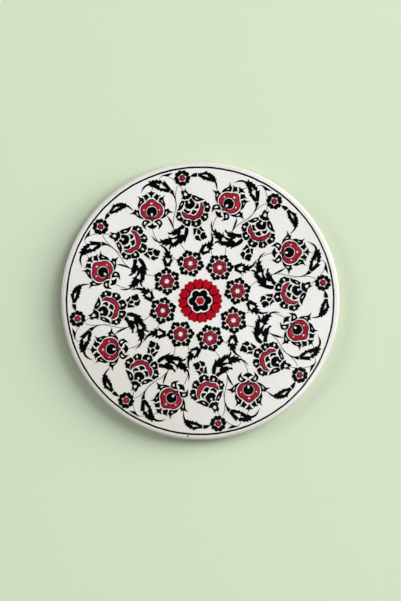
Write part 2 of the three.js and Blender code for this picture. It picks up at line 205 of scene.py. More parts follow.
def thin_slip_and_painted_shade(tree, place, colour):
    """The slip thins down the side; painted shade darkens it towards the lower left and over the shoulder."""
    split = tree.nodes.new("ShaderNodeSeparateXYZ")
    tree.links.new(place, split.inputs["Vector"])
    rise = fade(tree, split.outputs["Z"], GLAZE_STOP, GLAZE_STOP + SIDE_FADE)
    colour = tinted(tree, colour, rise, [(0.0, (0.42, 0.34, 0.25)), (0.8, grey(0.85)), (1.0, grey(1.0))])
    # Painted shade: the white turns darker and a little creamier towards the lower left of the plate.
    aside = measure(tree, place, "DOT_PRODUCT", [share / PLATE_RADIUS for share in (*PAINTED_SHADE_SIDE, 0)])
    colour = tinted(tree, colour, aside, [(0.1, grey(1.0)), (0.9, (0.86, 0.85, 0.81))])
    # Painted shade: the white darkens over the last few millimetres of the rounded shoulder.
    flat = measure(tree, place, "MULTIPLY", (1 / PLATE_RADIUS, 1 / PLATE_RADIUS, 0), "Vector")
    outward = measure(tree, flat, "LENGTH")
    return tinted(
        tree, colour, outward, [(0.965, grey(1.0)), (0.985, grey(0.84)), (1.0, (0.56, 0.56, 0.52))]
    )


def make_glaze():
    material, tree, shader, place = new_material("white_glaze")
    colour = thin_slip_and_painted_shade(tree, place, slip_colour(tree, place))
    reach = measure(tree, place, "DISTANCE", CHIP_AT)
    chipped = fade(tree, reach, CHIP_INNER, CHIP_OUTER, low=1.0, high=0.0)
    tree.links.new(mix(tree, "MIX", chipped, colour, CHIP_RUST), shader.inputs["Base Color"])
    shader.inputs["Roughness"].default_value = 0.32
    shader.inputs["Coat Weight"].default_value = 1.0
    shader.inputs["Coat Roughness"].default_value = 0.09
    bump(tree, shader, noise(tree, place, WAVES, detail=2), 0.25 * MM, 0.35)
    return material


white_glaze = make_glaze()
print("made", white_glaze.name)

# %% [markdown]
# ### Enamels
# Black and red are pigment laid on with a loaded brush. Where the brush ran drier the layer is thinner and
# lets a little of the white through, so each colour is a ramp from its thick to its thin shade.
# Red is put on heavily and keeps a grain, so it gets a stronger relief than black. The shine comes from the
# clear coat, and the dark contour, half hidden under the red, has less of it.

# %% Enamels
UNEVEN_LOAD = 55


def make_enamel(name, thick, thin, grain, roughness, relief, coat=1.0):
    """`thick` and `thin` are the two shades, `grain` is patches per metre, `relief` is in metres."""
    material, tree, shader, place = new_material(name)
    fine = noise(tree, place, grain, detail=3, rough=0.6)
    broad = noise(tree, place, UNEVEN_LOAD, detail=1)
    load = mix(
        tree, "MIX", 0.45,
        ramp(tree, fine, [(0.25, grey(0)), (0.75, grey(1))]),
        ramp(tree, broad, [(0.3, grey(0)), (0.7, grey(1))]),
    )
    tree.links.new(ramp(tree, load, [(0.25, thick), (0.95, thin)]), shader.inputs["Base Color"])
    shader.inputs["Roughness"].default_value = roughness
    shader.inputs["Specular IOR Level"].default_value = 0.1
    shader.inputs["Coat Weight"].default_value = coat
    shader.inputs["Coat Roughness"].default_value = 0.08
    bump(tree, shader, fine, relief, 0.5)
    return material


SMOOTH, GRAINY = 0.01 * MM, 0.02 * MM
black_enamel = make_enamel(
    "black_enamel", (0.0005, 0.0005, 0.0007), (0.0025, 0.0025, 0.003), 420, 0.3, SMOOTH)
rosette_red = make_enamel(
    "rosette_red", (0.38, 0.001, 0.009), (0.50, 0.004, 0.018), 700, 0.35, GRAINY)
crimson = make_enamel(
    "crimson_red", (0.26, 0.006, 0.018), (0.50, 0.022, 0.046), 700, 0.35, GRAINY)
contour_dark = make_enamel(
    "dark_contour", (0.006, 0.001, 0.0015), (0.02, 0.002, 0.003), 500, 0.35, SMOOTH, coat=0.3)
stem_grey = make_enamel(
    "stem_line", (0.012, 0.012, 0.013), (0.05, 0.048, 0.046), 900, 0.35, SMOOTH)
print("made five enamels")

# %% [markdown]
# ### Bare clay
# The underside is unglazed: dull, sandy and warm, with a fine grit that catches side light.

# %% Bare clay
PATCHES, GRIT, SAND = 60, 1500, 1100


def make_clay():
    material, tree, shader, place = new_material("bare_clay")
    patches, grit = noise(tree, place, PATCHES, detail=4), noise(tree, place, GRIT, detail=2)
    colour = ramp(tree, patches, [(0.3, (0.50, 0.38, 0.26)), (0.7, (0.66, 0.54, 0.40))])
    colour = tinted(tree, colour, grit, [(0.28, grey(0.6)), (0.42, grey(1.0))])
    tree.links.new(colour, shader.inputs["Base Color"])
    shader.inputs["Roughness"].default_value = 0.9
    bump(tree, shader, noise(tree, place, SAND, detail=3), 0.2 * MM, 0.6)
    return material


bare_clay = make_clay()
print("made", bare_clay.name)


# %% [markdown]
# ## The disc
# A plate that is pressed in a mould starts as a plain slab of clay. The shape follows the same road: a low
# cylinder, its upper edge rounded into a shoulder with one bevel, its lower edge eased with a smaller one.
# Edges are picked by their height, so the choice holds if the sizes change. Insets break the broad flat faces
# into rings, because very large many-sided faces shade badly.

# %% Picking edges and faces
SAME_HEIGHT = 0.001 * MM


def rim_edges(piece, height):
    """Selects the outer edge loop at one height."""
    bpy.ops.object.mode_set(mode="EDIT")
    bpy.ops.mesh.select_all(action="DESELECT")
    bpy.ops.object.mode_set(mode="OBJECT")
    for edge in piece.data.edges:
        ends = [piece.data.vertices[i].co for i in edge.vertices]
        edge.select = all(abs(end.z - height) < SAME_HEIGHT for end in ends)
    bpy.ops.object.mode_set(mode="EDIT")
    bpy.ops.mesh.select_mode(type="EDGE")


def middle_face(piece, height):
    """Selects the flat face on the axis at one height."""
    bpy.ops.object.mode_set(mode="EDIT")
    bpy.ops.mesh.select_all(action="DESELECT")
    bpy.ops.mesh.select_mode(type="FACE")
    bpy.ops.object.mode_set(mode="OBJECT")
    for face in piece.data.polygons:
        face.select = (face.center - Vector((0, 0, height))).length < 1 * MM
    bpy.ops.object.mode_set(mode="EDIT")


# %% A slab with a rounded shoulder
ROUND_STEPS = 192
SHOULDER = 3.1 * MM
FOOT_EASE = 1.5 * MM
ROUNDNESS = 0.7
SMOOTH_ANGLE = math.radians(40)


def slab(name, radius, low, high):
    bpy.ops.mesh.primitive_cylinder_add(
        vertices=ROUND_STEPS, radius=radius, depth=high - low, location=(0, 0, (low + high) / 2)
    )
    piece = bpy.context.active_object
    piece.name = piece.data.name = name
    bpy.ops.object.transform_apply(location=True, rotation=True, scale=True)
    return piece


def ring_face(piece, height, insets):
    """Insets the flat face at one height again and again; each inset is a length in metres."""
    for inset in insets:
        middle_face(piece, height)
        bpy.ops.mesh.inset(thickness=inset)


body = slab("plate_clay", BODY_RADIUS, body_low[2], BODY_TOP)
rim_edges(body, BODY_TOP)
bpy.ops.mesh.bevel(offset=SHOULDER, segments=8, profile=ROUNDNESS, affect="EDGES")
rim_edges(body, body_low[2])
bpy.ops.mesh.bevel(offset=FOOT_EASE, segments=5, profile=0.5, affect="EDGES")
ring_face(body, body_low[2], [0.25 * BODY_RADIUS, 0.4 * BODY_RADIUS])
bpy.ops.object.mode_set(mode="OBJECT")
bpy.ops.object.shade_smooth_by_angle(angle=SMOOTH_ANGLE)
body.data.materials.append(bare_clay)
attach(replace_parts(body, "clay_body"), "root")
print("clay body has", len(body.data.polygons), "faces")

# %% [markdown]
# ## The glaze coat
# Glaze is a skin: same outline, a fraction of a millimetre outside the clay, open underneath. A second slab
# is rounded the same way, its bottom face is opened, and Solidify gives the skin its thickness inwards.

# %% The glaze skin
glaze = slab("glaze_skin", PLATE_RADIUS, GLAZE_STOP, GLAZE_TOP)
rim_edges(glaze, GLAZE_TOP)
bpy.ops.mesh.bevel(offset=SHOULDER, segments=14, profile=ROUNDNESS, affect="EDGES")
middle_face(glaze, GLAZE_STOP)
bpy.ops.mesh.delete(type="FACE")
ring_face(glaze, GLAZE_TOP, [0.06 * PLATE_RADIUS, 0.3 * PLATE_RADIUS, 0.3 * PLATE_RADIUS])
bpy.ops.object.mode_set(mode="OBJECT")
skin = glaze.modifiers.new("skin", "SOLIDIFY")
skin.thickness = PLATE_RADIUS - BODY_RADIUS
skin.offset = -1
skin.use_even_offset = True
bpy.ops.object.modifier_apply(modifier="skin")
bpy.ops.object.shade_smooth_by_angle(angle=SMOOTH_ANGLE)
glaze.data.materials.append(white_glaze)
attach(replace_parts(glaze, "glaze_coat"), "root")
print("glaze skin has", len(glaze.data.polygons), "faces")

# %% [markdown]
# ## The brush
# Every painted field is a flat outline with a little body. A 2D curve does that well: its points are either
# smooth or sharp, an outline inside another leaves a bare window, a small extrude gives thickness, and a tiny
# bevel rounds the edge as wet enamel does. The curve is made a mesh at once and keeps its place in the mesh.
# A point is (x, y) where the brush ran on smoothly, or (x, y, 1) at a corner. Each field differs a little in
# height from the one before it, as its load of enamel does, and its foot sinks into the glaze.

# %% Windows in a field
def encloses(outer, inner):
    """True when the first point of `inner` lies inside the outline `outer`."""
    x, y = inner[0][:2]
    inside = False
    for (ax, ay, *_), (bx, by, *_) in zip(outer, outer[1:] + outer[:1]):
        if (ay > y) != (by > y) and x < ax + (y - ay) * (bx - ax) / (by - ay):
            inside = not inside
    return inside


def opened(window, spread):
    """A window is drawn wider by the spread, which then closes it to its own size again."""
    middle = Vector((sum(p[0] for p in window), sum(p[1] for p in window))) / len(window)
    wider = []
    for x, y, *sharp in window:
        away = (Vector((x, y)) - middle).normalized() * spread
        wider.append((x + away.x, y + away.y, *sharp))
    return wider


# %% Brushed fields
SINK = 0.05
ROUNDED_EDGE = 0.05
LOAD_STEP, LOAD_STEPS = 0.05, 4


def brushed(name, outlines, height, material, spread=0.0):
    """Fields of enamel on the glaze, about `height` mm proud; wet enamel spreads by `spread` mm."""
    strokes = []
    for field in outlines:
        others = [other for other in outlines if other is not field]
        if any(encloses(other, field) for other in others):
            continue
        windows = [opened(other, max(spread, 0)) for other in others if encloses(field, other)]
        load = height * (1 + LOAD_STEP * (len(strokes) % LOAD_STEPS))
        curve = outline_curve(name, [field] + windows)
        curve.extrude = (load + SINK) / 2 - ROUNDED_EDGE
        curve.offset = spread - ROUNDED_EDGE
        strokes.append(flat_mesh(name, curve, (load - SINK) / 2, material))
    deselect_all()
    for piece in strokes:
        piece.select_set(True)
    bpy.context.view_layer.objects.active = strokes[0]
    if len(strokes) > 1:
        bpy.ops.object.join()
    return bpy.context.active_object


def outline_curve(name, loops):
    """A flat filled curve: its first loop is the outline and the rest are windows."""
    curve = bpy.data.curves.new(name, "CURVE")
    curve.dimensions = "2D"
    curve.fill_mode = "BOTH"
    curve.resolution_u = 5
    curve.bevel_depth = ROUNDED_EDGE
    curve.bevel_resolution = 1
    for points in loops:
        spline = curve.splines.new("BEZIER")
        spline.bezier_points.add(len(points) - 1)
        spline.use_cyclic_u = True
        for knot, (x, y, *sharp) in zip(spline.bezier_points, points):
            knot.co = (x, y, 0)
            knot.handle_left_type = knot.handle_right_type = "VECTOR" if sharp else "AUTO"
    return curve


def flat_mesh(name, curve, rise, material, flatten=1.0):
    """Turns a curve drawn in mm into a mesh in metres, `rise` mm above the glaze."""
    piece = bpy.data.objects.new(name, curve)
    bpy.context.collection.objects.link(piece)
    work_on(piece)
    bpy.ops.object.convert(target="MESH")
    piece = bpy.context.active_object
    piece.scale = (MM, MM, MM * flatten)
    piece.location.z = GLAZE_TOP + rise * MM
    bpy.ops.object.transform_apply(location=True, rotation=True, scale=True)
    weld(piece)
    piece.data.materials.append(material)
    return piece


DOUBLES = 1e-7
FLAT_TOP_ANGLE = math.radians(20)


def weld(piece):
    """Closes the seams the curve leaves, and keeps the tops of fields flat against their rounded edges."""
    work_on(piece)
    bpy.ops.object.mode_set(mode="EDIT")
    bpy.ops.mesh.select_all(action="SELECT")
    bpy.ops.mesh.remove_doubles(threshold=DOUBLES)
    bpy.ops.mesh.normals_make_consistent(inside=False)
    bpy.ops.object.mode_set(mode="OBJECT")
    bpy.ops.object.shade_smooth_by_angle(angle=FLAT_TOP_ANGLE)


# %% [markdown]
# Stems are single strokes of a fine brush. A round tube along the path, pressed flat, gives the soft
# cross-section of such a line, and a smaller radius at its ends gives the taper where the brush is set down
# and lifted.

# %% Brush strokes
SET_DOWN, LIFTED = 0.8, 0.6


def stroke(name, paths, width, height, material, lift=0.0):
    """Open strokes, `width` mm wide and `height` mm high, `lift` mm above the glaze."""
    curve = bpy.data.curves.new(name, "CURVE")
    curve.dimensions = "3D"
    curve.resolution_u = 6
    curve.bevel_depth = width / 2
    curve.bevel_resolution = 2
    curve.use_fill_caps = True
    for path in paths:
        spline = curve.splines.new("BEZIER")
        spline.bezier_points.add(len(path) - 1)
        for knot, (x, y) in zip(spline.bezier_points, path):
            knot.co = (x, y, 0)
            knot.handle_left_type = knot.handle_right_type = "AUTO"
        spline.bezier_points[0].radius = SET_DOWN
        spline.bezier_points[-1].radius = LIFTED
    return flat_mesh(name, curve, lift, material, flatten=2 * height / width)


# %% [markdown]
# The outlines are drawn in the plate's own frame for the repeat at the top. Symmetrical flowers are drawn
# as a right half about an upright axis, mirrored, then turned and moved to where they stand.

# %% Outline helpers
ON_AXIS = 1e-6


def mirrored(half):
    left = [(-x, y, *sharp) for x, y, *sharp in reversed(half) if abs(x) > ON_AXIS]
    return list(half) + left


def flipped(points):
    return [(-x, y, *sharp) for x, y, *sharp in points]


def moved(points, at, degrees=0.0):
    cos, sin = math.cos(math.radians(degrees)), math.sin(math.radians(degrees))
    return [(at[0] + x * cos - y * sin, at[1] + x * sin + y * cos, *sharp) for x, y, *sharp in points]


def on_ray(centre, reach, degrees):
    """The point `reach` mm from a centre on a bearing."""
    bearing = math.radians(degrees)
    return centre[0] + reach * math.cos(bearing), centre[1] + reach * math.sin(bearing)


def around(points, centre, degrees, reach=0.0):
    """A petal drawn pointing up is stood on a ray from `centre`, its origin `reach` mm out."""
    return moved(points, on_ray(centre, reach, degrees), degrees - 90)


# %% [markdown]
# ## One repeat, drawn once
# ### The palmette
# The largest flower: a red heart ending in a small diamond, a black pupil with a white drop, and black petals
# standing round it. White dots, an arrow and slits are simply left unpainted. The contour is the whole heart
# with its eye open. The red fill is an open horseshoe round the eye, and the diamond below it. Drawing a fill
# in also widens its windows, so the windows of the dots and the arrow start there as small seeds.

# %% Palmette outlines
PALMETTE_AT = (-31.2, 57.4)
PALMETTE_TURN = 1.8
PALMETTE_BODY = [(0, 8.3), (1.4, 7.8), (2.9, 6.7), (4.15, 5.5, 1), (5.3, 5.0), (6.5, 3.6), (7.15, 1.3),
                 (6.95, -1.2), (5.8, -3.1), (4.2, -4.3), (2.4, -4.7, 1), (1.3, -5.0, 1), (0, -6.4, 1)]
PALMETTE_EYE = [(0, 3.75), (2.6, 2.7), (3.75, 0), (2.9, -2.3), (1.3, -3.4, 1), (0, -2.7, 1)]
PALMETTE_TOP = [(0, 13.4, 1), (0.45, 12.7), (2.3, 12.3, 1), (1.2, 11.3), (0.5, 10.4), (0.25, 9.4, 1)]
PALMETTE_FOOT = [(0, -7.4, 1), (0.8, -8.6), (3.0, -9.1, 1), (2.0, -10.1), (0.9, -10.7), (0, -10.9)]
PALMETTE_SIDES = [
    [(1.4, 9.6, 1), (2.6, 10.5), (3.3, 11.4, 1), (4.2, 10.7), (5.9, 10.3, 1), (4.7, 9.6), (4.3, 8.6),
     (3.3, 7.3, 1), (2.4, 8.6)],
    [(5.5, 8.9, 1), (6.8, 9.1), (8.4, 10.1, 1), (7.7, 8.6), (7.9, 7.0), (8.7, 4.4), (8.2, 2.2, 1),
     (7.4, 3.8), (6.1, 5.5), (4.6, 6.5, 1), (5.1, 7.7)],
    [(6.2, 7.4, 1), (7.0, 7.0), (7.5, 5.3, 1), (6.7, 6.2)],
    [(8.3, 1.5, 1), (9.3, 1.1), (10.6, 1.7, 1), (11.3, 0.5), (13.5, -0.7, 1), (11.7, -0.9), (10.6, -1.5),
     (9.0, -3.1), (7.4, -4.1), (5.6, -4.5, 1), (7.1, -3.0), (8.1, -1.2)],
    [(9.2, 0.0, 1), (9.9, -0.2), (9.5, -1.6), (8.4, -2.7, 1), (8.9, -1.3)],
    [(1.2, -6.6, 1), (2.6, -5.5), (4.6, -5.1), (5.8, -6.0), (6.5, -7.7), (5.9, -9.1), (4.2, -11.0, 1),
     (4.4, -9.5), (3.5, -8.1), (2.1, -7.1)],
    [(3.2, -6.5, 1), (4.7, -6.2), (5.2, -7.0), (5.0, -8.6, 1), (4.2, -7.5)],
]
PUPIL = [(0, 3.0), (1.9, 2.4), (3.0, 0.8), (3.05, -0.9), (2.2, -2.2), (0.9, -3.1, 1), (0.75, -2.6),
         (0.95, -1.7), (0.7, -0.9), (0, -0.6)]
WHITE_DOT = [(0, 0.5), (0.5, 0), (0, -0.5), (-0.5, 0)]
WHITE_ARROW = [(0, -0.8, 1), (0.75, 0.1), (0.55, 0.7), (0, 0.45, 1), (-0.55, 0.7), (-0.75, 0.1)]
DOT_SEED = [(0, 0.12), (0.12, 0), (0, -0.12), (-0.12, 0)]
ARROW_SEED = [(0, -0.25), (0.25, 0.1), (0, 0.2), (-0.25, 0.1)]


def on_palmette(points):
    return moved(points, PALMETTE_AT, PALMETTE_TURN)


palmette_petals = [on_palmette(mirrored(PALMETTE_TOP)), on_palmette(mirrored(PALMETTE_FOOT))]
for outline in PALMETTE_SIDES:
    palmette_petals += [on_palmette(outline), on_palmette(flipped(outline))]
PALMETTE_LOBES = PALMETTE_BODY[:-3] + [
    (1.5, -4.7, 1), (1.3, -3.2, 1), (2.75, -2.2), (3.55, 0), (2.45, 2.55), (0, 3.55)]
PALMETTE_DIAMOND = [(0, -2.6, 1), (1.7, -4.3, 1), (0, -6.3, 1)]
DOT_PLACES = [(-5.0, 1.3), (5.0, 1.3)]
ARROW_PLACE = (-0.1, 5.3)


def with_marks(outlines, dot, arrow):
    """Adds the windows of the two dots and the arrow, and stands all of it on the palmette."""
    marks = [moved(dot, place) for place in DOT_PLACES] + [moved(arrow, ARROW_PLACE)]
    return [on_palmette(points) for points in outlines + marks]


palmette_ground = with_marks([mirrored(PALMETTE_BODY), mirrored(PALMETTE_EYE)], WHITE_DOT, WHITE_ARROW)
palmette_fill = with_marks([mirrored(PALMETTE_LOBES), mirrored(PALMETTE_DIAMOND)], DOT_SEED, ARROW_SEED)
pupil = [on_palmette(mirrored(PUPIL))]
print("palmette:", len(palmette_petals), "black outlines")

# %% [markdown]
# ### The lotus
# A side-on blossom: a cup of black petals over a red crescent, with five scalloped petals below it.

# %% Lotus outlines
lotus_petals = [
    [(-12.0, 71.1, 1), (-11.0, 70.9, 1), (-10.5, 70.6), (-9.7, 72.4, 1), (-8.6, 70.6), (-7.4, 69.2),
     (-5.5, 68.9, 1), (-5.9, 67.5), (-7.0, 66.1, 1), (-8.0, 65.6), (-8.7, 65.5), (-9.1, 65.9, 1),
     (-10.0, 65.1, 1), (-10.9, 65.7, 1), (-12.1, 65.8, 1), (-11.4, 66.8), (-11.4, 68.2), (-12.0, 69.3)],
    [(-10.3, 69.9, 1), (-9.0, 69.5), (-8.3, 68.6), (-9.5, 67.4, 1), (-10.3, 68.3)],
    [(-11.9, 64.6, 1), (-10.3, 64.3, 1), (-10.5, 62.6), (-11.2, 60.6), (-12.6, 58.8), (-15.0, 57.9, 1),
     (-14.1, 59.4), (-13.4, 62.0)],
    [(-11.3, 63.4, 1), (-11.5, 62.3), (-12.7, 61.0, 1), (-12.2, 62.5)],
    [(-5.3, 67.9, 1), (-4.6, 68.2), (-2.6, 67.8), (-0.2, 66.5), (2.6, 65.5, 1), (0.4, 64.5), (-2.0, 64.3),
     (-4.0, 65.2), (-5.2, 66.3, 1)],
    [(-3.6, 66.7, 1), (-2.4, 66.4), (-1.0, 65.3, 1), (-2.4, 65.5)],
    [(-9.9, 64.2, 1), (-9.4, 62.7), (-9.9, 61.2), (-9.3, 60.3, 1), (-8.7, 59.6), (-7.5, 59.5, 1),
     (-6.5, 59.2), (-5.6, 59.7, 1), (-4.6, 60.3), (-3.9, 61.2, 1), (-3.4, 62.4), (-4.0, 64.0),
     (-5.1, 65.3), (-5.9, 66.2, 1), (-6.6, 65.4), (-7.2, 64.6, 1), (-6.4, 63.7), (-6.2, 62.8, 1),
     (-7.9, 62.5, 1), (-8.0, 63.4), (-7.8, 64.4, 1), (-8.8, 64.6)],
    [(-10.0, 59.5, 1), (-9.2, 58.9, 1), (-8.4, 58.1), (-6.6, 57.9, 1), (-7.0, 56.9), (-8.4, 56.3),
     (-9.5, 57.0), (-10.8, 58.2, 1)],
    [(-4.6, 59.0, 1), (-3.6, 58.4, 1), (-2.1, 58.1, 1), (-2.6, 57.0), (-3.5, 56.1), (-5.0, 55.8),
     (-5.9, 56.6, 1), (-5.2, 57.6)],
    [(-2.5, 63.1, 1), (-1.3, 62.2), (-0.9, 61.0), (-0.9, 59.9, 1), (-2.4, 59.5), (-3.5, 59.7, 1),
     (-3.2, 60.7), (-2.3, 61.5, 1), (-2.1, 62.3)],
]
lotus_band = [[
    (-11.9, 57.8, 1), (-11.7, 56.0), (-10.5, 54.1, 1), (-9.6, 53.3), (-8.2, 53.0), (-7.0, 53.1, 1),
    (-5.8, 52.4), (-3.8, 52.1), (-2.2, 52.9, 1), (-0.7, 53.4), (0.2, 54.8, 1), (1.3, 55.8), (1.9, 57.5),
    (2.0, 58.9, 1), (2.3, 60.2), (1.6, 62.0), (0.2, 63.5, 1), (0.1, 61.9), (0.0, 60.2), (-0.6, 58.7, 1),
    (-1.3, 57.6), (-2.0, 56.4, 1), (-2.8, 55.4), (-4.0, 54.9, 1), (-5.2, 54.9), (-6.2, 55.7, 1),
    (-7.4, 55.5), (-8.6, 55.8), (-10.2, 56.8, 1)]]

# %% [markdown]
# The five scalloped petals below the crescent have round lobes on their rim, with a sharp notch between
# each two, and a white drop that points at the crescent.

# %% Scalloped petals of the lotus
LOTUS_CENTRE = (-4.7, 59.6)
SCALLOPED = [
    ((-13.6, 54.0), [
        (-12.7, 57.1, 1), (-14.0, 57.3), (-15.0, 56.8), (-14.9, 55.6, 1), (-15.6, 54.6), (-15.3, 53.5),
        (-14.7, 53.2, 1), (-14.8, 52.3), (-13.9, 51.7), (-13.3, 51.8, 1), (-12.7, 51.0), (-11.7, 51.2),
        (-10.9, 53.1, 1), (-11.9, 54.0), (-12.4, 55.6)]),
    ((-8.6, 50.7), [
        (-10.3, 52.6), (-8.6, 52.2), (-6.6, 52.3, 1), (-6.3, 51.0), (-6.4, 49.3), (-7.0, 48.3),
        (-8.3, 48.1), (-8.9, 48.6, 1), (-9.9, 48.5), (-10.3, 49.4, 1), (-11.3, 49.9), (-11.4, 50.8),
        (-10.9, 51.3, 1), (-10.8, 52.2)]),
    ((-2.6, 49.7), [
        (-0.8, 52.7), (-2.0, 51.7), (-3.6, 51.4), (-5.5, 52.0, 1), (-5.8, 50.9), (-5.3, 49.9, 1),
        (-5.5, 49.0), (-4.6, 48.3), (-4.2, 48.4, 1), (-3.6, 47.7), (-2.2, 47.6), (-1.6, 48.2, 1),
        (-0.4, 48.3), (-0.1, 48.9, 1), (0.7, 49.7), (0.5, 51.0, 1), (0.2, 52.2)]),
    ((3.3, 54.2), [
        (2.2, 56.8, 1), (3.4, 56.5), (4.6, 56.5), (5.2, 55.7), (4.9, 55.1, 1), (5.2, 54.2), (4.8, 53.4),
        (4.2, 53.3, 1), (4.4, 52.4), (3.6, 51.9), (3.2, 52.1, 1), (2.6, 51.3), (1.4, 51.9),
        (0.1, 53.7, 1), (0.9, 54.9), (1.5, 54.9), (1.9, 55.9)]),
    ((4.6, 60.8), [
        (1.2, 63.2, 1), (2.4, 63.7), (3.4, 64.4), (4.2, 63.7), (4.4, 63.0, 1), (5.4, 63.2), (5.9, 62.3),
        (5.8, 61.8, 1), (6.6, 61.0), (6.5, 59.7), (6.0, 59.2, 1), (6.1, 58.2), (5.1, 57.3),
        (3.3, 57.6, 1), (2.9, 58.8), (3.1, 59.8), (2.7, 61.0), (2.3, 62.2)]),
]
DROP = [(0, 1.25, 1), (0.62, 0.3), (0.6, -0.4), (0, -0.8), (-0.6, -0.4), (-0.62, 0.3)]
for (x, y), petal in SCALLOPED:
    towards = math.degrees(math.atan2(LOTUS_CENTRE[1] - y, LOTUS_CENTRE[0] - x))
    lotus_petals += [petal, moved(DROP, (x, y), towards - 90)]
print("lotus:", len(lotus_petals), "black outlines")

# %% [markdown]
# ### Leaves, thorns and the bud
# Leaves are toothed like a saw on both sides and keep a bare window along the midrib. Each tooth needs only
# its tip and the notch before it, so those are sharp points and the rest of the outline is smooth.

# %% Leaf outlines
rim_leaf = [
    [(-7.2, 79.6, 1), (-5.6, 81.1), (-3.8, 82.2), (-2.1, 82.4, 1), (-2.3, 80.2, 1), (-4.4, 80.1),
     (-6.0, 80.3)],
    [(-1.2, 82.3, 1), (0.8, 82.4), (4.4, 83.6, 1), (4.7, 82.5, 1), (6.7, 82.4, 1), (6.7, 81.7, 1),
     (8.3, 81.3, 1), (8.2, 80.6, 1), (9.4, 80.2, 1), (9.5, 78.9, 1), (10.6, 78.5, 1), (10.1, 77.8, 1),
     (10.8, 75.6), (10.8, 72.1, 1), (10.4, 73.9), (10.0, 75.6), (9.2, 76.8, 1), (8.0, 76.5, 1),
     (7.3, 77.5, 1), (6.2, 77.1, 1), (5.7, 77.9, 1), (4.9, 77.3, 1), (4.2, 78.2, 1), (2.2, 78.1, 1),
     (1.7, 78.9, 1), (0.0, 79.8), (-1.3, 80.4, 1)],
    [(0.5, 81.2, 1), (2.4, 81.3), (4.5, 81.2, 1), (5.0, 80.5), (6.5, 79.6, 1), (5.3, 79.6),
     (4.9, 80.1, 1), (4.3, 79.8, 1), (3.6, 80.2), (2.0, 80.6)],
]
side_leaf = [
    [(-18.8, 72.2, 1), (-20.6, 74.4), (-23.3, 77.5, 1), (-23.6, 76.5), (-23.9, 75.9, 1), (-25.9, 77.9, 1),
     (-26.6, 77.2, 1), (-28.5, 78.2, 1), (-29.0, 77.5, 1), (-31.0, 77.9, 1), (-30.9, 76.9, 1),
     (-33.3, 77.2, 1), (-32.6, 75.8, 1), (-34.6, 75.0), (-36.6, 73.4), (-37.9, 70.3, 1), (-36.3, 72.5),
     (-34.4, 74.0), (-32.4, 74.4, 1), (-31.8, 73.6, 1), (-30.1, 73.4), (-28.8, 72.5, 1), (-27.9, 72.5, 1),
     (-27.5, 71.5, 1), (-26.0, 71.8, 1), (-25.6, 70.5, 1), (-24.3, 71.0, 1), (-22.4, 70.3),
     (-20.1, 70.2, 1), (-19.4, 71.3)],
    [(-28.6, 75.3, 1), (-27.3, 75.5), (-26.0, 75.0, 1), (-25.0, 75.9, 1), (-24.3, 74.8), (-22.6, 73.4),
     (-21.1, 72.0, 1), (-22.8, 72.5), (-25.8, 73.0), (-26.3, 73.6, 1), (-25.9, 74.2, 1), (-27.2, 74.5)],
    [(-18.4, 71.7, 1), (-17.5, 70.8), (-16.9, 69.0), (-15.9, 66.2), (-15.5, 62.6, 1), (-16.2, 66.0),
     (-17.4, 68.2), (-19.4, 69.9, 1)],
]
thorns = [
    [(-20.9, 54.4, 1), (-19.4, 52.8), (-18.2, 50.6), (-17.1, 46.6, 1), (-18.6, 49.4), (-19.8, 51.8)],
    [(-18.0, 82.4, 1), (-20.6, 82.0), (-22.4, 81.5), (-24.3, 80.9, 1), (-22.7, 80.7), (-21.3, 80.3),
     (-19.8, 81.1)],
]
big_leaf = [
    [(-30.7, 41.2, 1), (-29.0, 39.6), (-27.6, 38.7), (-26.2, 38.2), (-25.3, 38.5, 1), (-25.8, 39.8, 1),
     (-24.4, 39.2), (-23.3, 38.9, 1), (-23.0, 39.9, 1), (-20.1, 40.1, 1), (-20.6, 41.5, 1), (-19.4, 40.8),
     (-17.4, 40.7), (-15.9, 41.4), (-14.8, 42.1, 1), (-14.6, 43.0, 1), (-16.1, 42.5), (-17.4, 42.3),
     (-18.0, 43.0, 1), (-20.7, 43.4), (-20.7, 44.2, 1), (-19.4, 43.9), (-18.1, 44.0, 1), (-18.2, 44.9, 1),
     (-16.5, 45.2, 1), (-17.2, 46.0, 1), (-15.0, 46.5), (-13.2, 47.7), (-11.7, 49.1, 1), (-10.0, 47.8, 1),
     (-11.2, 46.5), (-12.8, 45.8, 1), (-12.5, 44.2, 1), (-13.2, 43.3, 1), (-12.9, 42.4, 1), (-11.4, 42.7),
     (-10.4, 42.2, 1), (-10.0, 44.6), (-9.6, 47.3, 1), (-8.0, 47.2, 1), (-7.6, 45.2), (-8.1, 42.6),
     (-9.2, 40.0), (-9.9, 37.7, 1), (-10.6, 39.3, 1), (-12.2, 36.8, 1), (-13.0, 37.5, 1), (-14.2, 36.5, 1),
     (-16.0, 34.7, 1), (-16.4, 35.7, 1), (-17.6, 34.4, 1), (-18.1, 35.6, 1), (-19.8, 32.8, 1),
     (-20.0, 34.0), (-18.8, 36.3, 1), (-20.8, 36.1), (-22.4, 35.1, 1), (-22.1, 36.4, 1), (-24.9, 36.1, 1),
     (-24.2, 37.2, 1), (-26.4, 37.5), (-28.3, 38.3), (-29.7, 39.5)],
    [(-18.4, 39.2, 1), (-17.7, 39.8), (-16.2, 39.7), (-14.3, 40.3, 1), (-15.3, 39.2), (-17.3, 37.2, 1),
     (-18.0, 37.9)],
]
